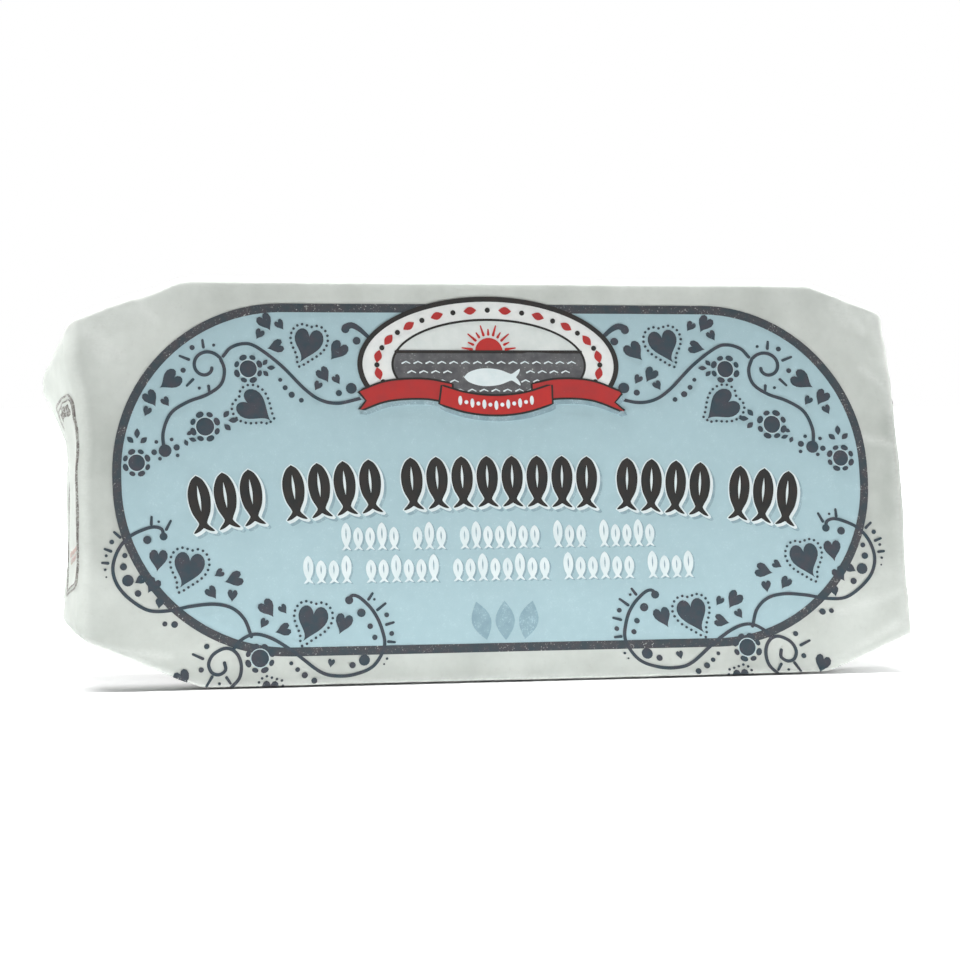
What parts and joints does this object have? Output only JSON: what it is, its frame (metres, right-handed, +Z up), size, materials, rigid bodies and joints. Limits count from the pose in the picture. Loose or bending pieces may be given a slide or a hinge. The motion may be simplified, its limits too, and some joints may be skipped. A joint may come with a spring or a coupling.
{
  "type": "paper-wrapped tin of sardine roe",
  "caption": "Flat tin of sardine roe sealed in one folded sheet of printed paper, standing on its long side and leaning slightly back, with folded corners and small dog-ears at the ends.",
  "frame": {"origin": "centre of the pack's box, on the surface it stands on", "axes": "+X along the pack's length, +Y from the label face towards the back, +Z up"},
  "size_m": [0.1114, 0.0266, 0.0508],
  "materials": {
    "wrapper_paper": "matt uncoated wrapping paper with printed fields of colour"
  },
  "bodies": {
    "root": {"wrapped_tin": "wrapper_paper"}
  },
  "joints": []
}
